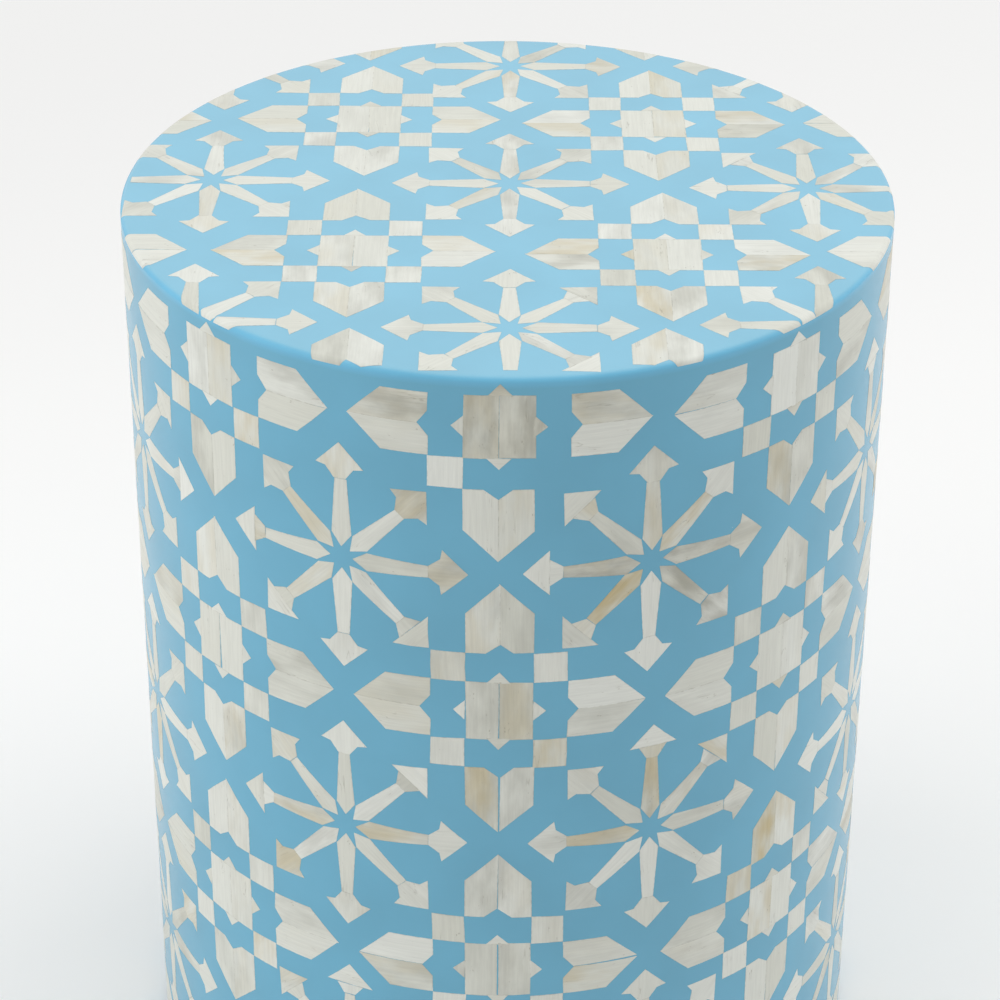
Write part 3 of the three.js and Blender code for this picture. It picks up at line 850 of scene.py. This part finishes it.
def lay_motif(inlay, name, bones, middle, work, random):
    """Lays a motif's bones on the surface round its middle, each cut by hand."""
    notes, blanks = NOTES.get(name, {}), BLANKS.get(name, ())
    for bone in bones:
        if bone.part in blanks:
            continue
        fine = inlay.trim and near_edge(outline_points(bone) + middle).any()
        grid, border = bone_face(bone, FINE_REACH if fine else REACH, work.rim)
        grain = grid[..., ::-1] if bone.grain_across else grid
        start = random.uniform(-1, 1, 2)  # each bone shows another part of the grain's pattern
        make = notes.get(bone.part) or bone_make(random)
        proud = work.proud + work.proud_range * random.random()
        placed = rotated(hand_cut(grid, work.cut, random), bone.turn) + middle
        inlay.add(placed, grain + start, border, proud, make)


class DRUM_OT_resin(bpy.types.Operator):
    """Make the resin coat: one turned shell with a rounded upper edge"""

    bl_idname = "drum.resin"
    bl_label = "Resin coat"

    def execute(self, context):
        flat, inner = RADIUS - EDGE, RADIUS - RESIN_DEPTH
        # A ring close beside the edge and one beside the foot keep their shading off the wall.
        wall = np.linspace(TOP_Z - WALL_START, FOOT_Z + 2 * FOOT_EDGE, WALL_RINGS)
        profile = [
            *[[ring * flat, TOP_Z] for ring in FACE_RINGS],
            *arc((flat, TOP_Z - EDGE), EDGE, QUARTER, 0, EDGE_STEPS),
            [RADIUS, TOP_Z - 2 * EDGE],
            *[[RADIUS, z] for z in wall],
            *arc((RADIUS - FOOT_EDGE, FOOT_Z + FOOT_EDGE), FOOT_EDGE, 0, -QUARTER, FOOT_STEPS),
            [inner, FOOT_Z],
            [inner, TOP_Z - RESIN_DEPTH],
            [0, TOP_Z - RESIN_DEPTH],
        ]
        mesh = turned_mesh("resin_coat", profile, COAT_FACETS)
        material = resin_material(context.scene.drum.colours)
        place_piece("resin_coat", mesh, material, ["resin_side", "resin_top"])
        return {"FINISHED"}


class DRUM_OT_top_bones(bpy.types.Operator):
    """Lay the bones of the top, one piece for each motif's node"""

    bl_idname = "drum.top_bones"
    bl_label = "Bones of the top"

    def execute(self, context):
        settings = context.scene.drum
        work, layout, rosette = settings.handwork, settings.layout, settings.rosette
        cell, tips = layout.top_cell, (layout.top_straight, layout.top_diagonal)
        material = bone_material(settings.colours)
        random = np.random.default_rng(work.seed)

        def star_at(column, row, steps):
            """A large star's arms at some steps, and its drawn middle, (column C, s + row C)."""
            drawn = np.array([column * cell, layout.top_shift + row * cell])
            return star_bones(settings.star, steps, tips, work.lap, work.top_split, random), drawn

        motifs = {name: [star_at(*where, range(ARMS))] for name, where in TOP_STARS.items()}
        for corner, (x, y, across, inward, along) in TOP_CORNERS.items():
            middle = np.array([x * cell / 2, layout.top_shift + y * cell / 2])
            around = rosette_bones(rosette, layout.top_house, work.lap, range(4), range(4), {})
            motifs["rosette_" + corner] = [(around, middle), star_at(x, y, [inward])]
            motifs["rim_arm_across_" + corner] = [star_at(x, y, [across])]
            motifs["rim_arm_along_" + corner] = [star_at(x, y, [along])]
            houses = (
                ("rim_house_across_", across, (x * cell, 0)),
                ("rim_house_along_", along, (0, y * cell)),
            )
            for name, step, shift in houses:
                turn = step * FULL_TURN / ARMS
                bones = house_bones(rosette, turn, layout.top_house, work.lap, "house")
                motifs[name + corner] = [(bones, middle + shift)]
        for name, parts in motifs.items():
            inlay = Inlay(on_top, within_rim)
            for bones, drawn in parts:
                middle = motif_middle(name, drawn, TOP_STRAYS, work, random)
                lay_motif(inlay, name, bones, middle, work, random)
            place_piece("bones_" + name, inlay.mesh("bones_" + name), material, [name])
        return {"FINISHED"}


class DRUM_OT_side_bones(bpy.types.Operator):
    """Lay the bones of the side, one piece for each row of motifs"""

    bl_idname = "drum.side_bones"
    bl_label = "Bones of the side"

    def execute(self, context):
        settings = context.scene.drum
        work, layout, rosette = settings.handwork, settings.layout, settings.rosette
        tips = (layout.side_straight, layout.side_diagonal)
        cell = FULL_TURN * RADIUS / layout.columns
        columns = range(-layout.columns // 2, layout.columns // 2)
        depths = [layout.margin + row * layout.pitch for row in range(layout.rows)]
        depths.append(TOP_Z - FOOT_Z - layout.foot_margin)
        material = bpy.data.materials["camel_bone_ground"]
        random = np.random.default_rng(work.seed + 1)

        def column_at(place):
            """Columns are wide at the front, x = s + p C + w sin(2 pi p / n), and close behind."""
            wide = layout.spread * math.sin(FULL_TURN * place / layout.columns)
            return layout.start + place * cell + wide

        def lay_row(kind, row, past, depth, bones_of):
            """Lays a motif in each column, at a share of a column past it and at one depth."""
            inlay = Inlay(on_side)
            for column in columns:
                motif = f"{kind}_{column}_{row}"
                drawn = np.array([column_at(column + past), -depth])
                middle = motif_middle(motif, drawn, SIDE_STRAYS, work, random)
                lay_motif(inlay, motif, bones_of(motif), middle, work, random)
            name = f"bones_side_{kind}s_{row + 1}"
            place_piece(name, inlay.mesh(name), material, [])

        def star_of(motif):
            return star_bones(settings.star, range(ARMS), tips, work.lap, work.split, random)

        def rosette_of(motif):
            openings = OPENINGS.get(motif, {})
            return rosette_bones(rosette, layout.side_house, work.lap, sides, corners, openings)

        for row in range(layout.rows):
            lay_row("star", row, 0.5, (depths[row] + depths[row + 1]) / 2, star_of)
        for row, depth in enumerate(depths):
            sides = [0, 2] + [1] * (row > 0) + [3] * (row < layout.rows)
            corners = [0, 1] * (row > 0) + [2, 3] * (row < layout.rows)
            lay_row("rosette", row, 0, depth, rosette_of)
        return {"FINISHED"}


class DRUM_OT_carcass(bpy.types.Operator):
    """Finish the boards, ribs, battens and skins of the carcass"""

    bl_idname = "drum.carcass"
    bl_label = "Carcass"

    def execute(self, context):
        finishes = {
            "board": board_material("fibre_board_sawn", "#9A7A55", "#B59468"),
            "stained_board": board_material("fibre_board_stained", "#2A2520", "#3B342D"),
            "pine": timber_material("pine_planed", "#B98F58", "#DDBF90", 4, (1, 1, 0.08)),
            "plywood": timber_material("birch_plywood_bent", "#B8935F", "#D6B887", 1.2, (1, 1, 1)),
        }
        for subpart in frame["record"]["subparts"]:
            finish = finishes.get(subpart["material_slot"])
            if finish:
                mesh = frame["nodes"][subpart["node"]].data
                mesh.materials.clear()
                mesh.materials.append(finish)
        return {"FINISHED"}


def footing(node):
    """Of a round upright node: the move from the origin to its foot, its radius and its height."""
    low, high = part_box(node)
    move = Matrix.Translation(((low.x + high.x) / 2, (low.y + high.y) / 2, low.z))
    return move, (high.x - low.x) / 2, high.z - low.z


def screw_mesh(name, head_radius, span):
    """A countersunk screw, point up, with a cross recess in its face at z = 0.

    In the face, ring t and angle a: r = t q(a) with q(a) = c + (w - c) |cos 2a|^n inside the
    recess, which is d (1 - t t) deep, and then out to the head's edge. The cone, the shank and
    the point follow as rings of one radius each.
    """
    angles = facet_angles(SCREW_FACETS)
    lobes = np.abs(np.cos(2 * angles)) ** RECESS_SHARPNESS
    recess = RECESS_CORE + (RECESS_REACH - RECESS_CORE) * lobes
    rings = [(t * recess, RECESS_DEPTH * (1 - t * t)) for t in RECESS_RINGS]
    rings += [(recess + t * (head_radius - SCREW_BEVEL - recess), 0) for t in RIM_RINGS]
    shank = SHANK_SHARE * head_radius
    turned = (
        (head_radius, SCREW_BEVEL), (head_radius, SCREW_RIM), (shank, SCREW_RIM + SCREW_CONE),
        (shank, span - SCREW_POINT), (0, span),
    )
    rings += [(np.full_like(angles, radius), z) for radius, z in turned]
    return ring_mesh(name, *zip(*rings))


class DRUM_OT_fixings(bpy.types.Operator):
    """Make the base's screws, the glides and the glides' nails"""

    bl_idname = "drum.fixings"
    bl_label = "Screws, glides and nails"

    def execute(self, context):
        steel, nylon = steel_material(), nylon_material()
        for i in range(1, SCREWS + 1):
            node = f"base_screw_{i}"
            move, radius, height = footing(node)
            screw = screw_mesh("turned_screw", radius, height)
            screw.transform(move)
            place_piece(f"countersunk_screw_{i}", screw, steel, [node])
        for i in range(1, GLIDES + 1):
            node, nail = f"glide_{i}", f"glide_nail_{i}"
            move, radius, height = footing(node)
            nail_move, head, nail_height = footing(nail)
            sink = nail_move.translation.z - move.translation.z
            hole, seat, under_head = head + FIT, sink + NAIL_HEAD + FIT, sink + NAIL_HEAD
            tip = sink + nail_height
            pad_profile = [
                [hole, seat],
                [hole, GLIDE_EDGE / 2],
                [hole + GLIDE_EDGE / 2, 0],
                *arc((radius - GLIDE_EDGE, GLIDE_EDGE), GLIDE_EDGE, -QUARTER, 0, GLIDE_STEPS),
                [radius, height],
                [NAIL_SHANK + FIT, height],
                [NAIL_SHANK + FIT, seat],
                [hole, seat],
            ]
            nail_profile = [
                *[[part * head, sink + rise] for part, rise in NAIL_DOME],
                [head, sink + NAIL_HEAD / 2],
                [head, under_head],
                [NAIL_SHANK, under_head],
                [NAIL_SHANK, tip - NAIL_POINT],
                [0, tip],
            ]
            pad = turned_mesh("moulded_glide", pad_profile, GLIDE_FACETS)
            drive = turned_mesh("drawn_nail", nail_profile, NAIL_FACETS)
            pad.transform(move)
            drive.transform(move)
            place_piece(f"nylon_glide_{i}", pad, nylon, [node])
            place_piece(f"drawn_nail_{i}", drive, steel, [nail])
        return {"FINISHED"}


class DRUM_OT_studio(bpy.types.Operator):
    """Set up the floor, the lamps, the background and the camera"""

    bl_idname = "drum.studio"
    bl_label = "Studio"

    def execute(self, context):
        scene = context.scene
        scene.view_settings.view_transform = "Standard"
        self.add_floor(scene)
        self.add_background(scene)
        self.add_lamps(scene)
        self.add_camera(scene)
        return {"FINISHED"}

    def add_floor(self, scene):
        mesh = turned_mesh("studio_floor", [[ring, 0] for ring in FLOOR_RINGS], FLOOR_FACETS)
        made, shader, add = new_material("paper_backdrop")
        place = add("TexCoord", {}, "Object")
        tooth = add("TexNoise", {"Vector": place, "Scale": per(400), "Detail": 2})
        paper, soft = scene.drum.colours.floor, from_hex("#F5F5F5")
        shade = add("Mix", {"Factor": tooth, MIX_A: paper, MIX_B: soft}, **TINT)
        # Far from the drum the paper rises into the background, for the camera alone.
        seen = add("LightPath", {}, "Is Camera Ray")
        away = add("VectorMath", {0: place}, "Value", operation="LENGTH")
        rise = add(
            "MapRange", {"Value": away, "From Min": RISE_START, "From Max": RISE_END},
            interpolation_type="SMOOTHSTEP",
        )
        fade = add("Math", {0: seen, 1: rise}, operation="MULTIPLY")
        lit = add("Mix", {"Factor": fade, MIX_A: shade, MIX_B: (0, 0, 0, 1)}, **TINT)
        level = add("MapRange", {"Value": rise, "To Min": FLOOR_GLOW})
        glow = add("Math", {0: seen, 1: level}, operation="MULTIPLY")
        feed(shader, {"Base Color": lit, "Roughness": 0.9, "Specular IOR Level": 0})
        feed(shader, {"Emission Color": paper, "Emission Strength": glow})
        mesh.materials.append(made)
        floor = bpy.data.objects.new("studio_floor", mesh)
        scene.collection.objects.link(floor)

    def add_background(self, scene):
        world = bpy.data.worlds.new("studio")
        world.use_nodes = True
        scene.world = world
        add = partial(add_node, world.node_tree)
        seen = path = add("LightPath", {}, "Is Camera Ray")
        for name in ("Is Glossy Ray", "Is Transmission Ray"):
            seen = add("Math", {0: seen, 1: path.node.outputs[name]}, operation="MAXIMUM")
        level = add("MapRange", {"Value": seen, "To Min": FILL_LEVEL})
        background = world.node_tree.nodes["Background"]
        feed(background, {"Color": scene.drum.colours.floor, "Strength": level})

    def add_lamps(self, scene):
        for name, (azimuth, height, distance, size, power) in LAMPS.items():
            lamp = bpy.data.lights.new(name, "AREA")
            lamp.shape, lamp.size, lamp.energy = "DISK", size, power
            rig = bpy.data.objects.new(name, lamp)
            heading = math.radians(azimuth)
            rig.location = (distance * math.sin(heading), -distance * math.cos(heading), height)
            aim = Vector((0, 0, TOP_Z / 2)) - rig.location
            rig.rotation_euler = aim.to_track_quat("-Z", "Y").to_euler()
            rig.visible_camera = rig.visible_glossy = False
            scene.collection.objects.link(rig)

    def add_camera(self, scene):
        lens = bpy.data.cameras.new("camera")
        lens.lens, lens.sensor_width = LENS, SENSOR
        camera = bpy.data.objects.new("camera", lens)
        camera.location = TARGET + DISTANCE * Vector((0, -math.cos(PITCH), math.sin(PITCH)))
        aim = Euler((QUARTER - PITCH, 0, 0)).to_matrix() @ Euler((0, 0, ROLL)).to_matrix()
        camera.rotation_euler = aim.to_euler()
        scene.collection.objects.link(camera)
        scene.camera = camera


class DRUM_PT_panel(bpy.types.Panel):
    """The drum stool's pieces in the sidebar"""

    bl_idname = "DRUM_PT_panel"
    bl_label = "Drum stool"
    bl_space_type = "VIEW_3D"
    bl_region_type = "UI"
    bl_category = "Drum stool"

    def draw(self, context):
        for operator in OPERATORS:
            self.layout.operator(operator.bl_idname)
        drum = context.scene.drum
        for group in drum.__annotations__:
            box = self.layout.box()
            settings = getattr(drum, group)
            for name in settings.__annotations__:
                box.prop(settings, name)


OPERATORS = (
    DRUM_OT_resin, DRUM_OT_top_bones, DRUM_OT_side_bones, DRUM_OT_carcass, DRUM_OT_fixings,
    DRUM_OT_studio,
)
CLASSES = (
    DRUM_PG_star, DRUM_PG_rosette, DRUM_PG_layout, DRUM_PG_handwork, DRUM_PG_colours,
    DRUM_PG_settings, *OPERATORS, DRUM_PT_panel,
)


def register():
    for kind in CLASSES:
        bpy.utils.register_class(kind)
    bpy.types.Scene.drum = PointerProperty(type=DRUM_PG_settings)


def unregister():
    del bpy.types.Scene.drum
    for kind in reversed(CLASSES):
        bpy.utils.unregister_class(kind)


def main():
    register()
    bpy.ops.drum.resin()
    bpy.ops.drum.top_bones()
    bpy.ops.drum.side_bones()
    bpy.ops.drum.carcass()
    bpy.ops.drum.fixings()
    bpy.ops.drum.studio()


if __name__ == "__main__":
    main()
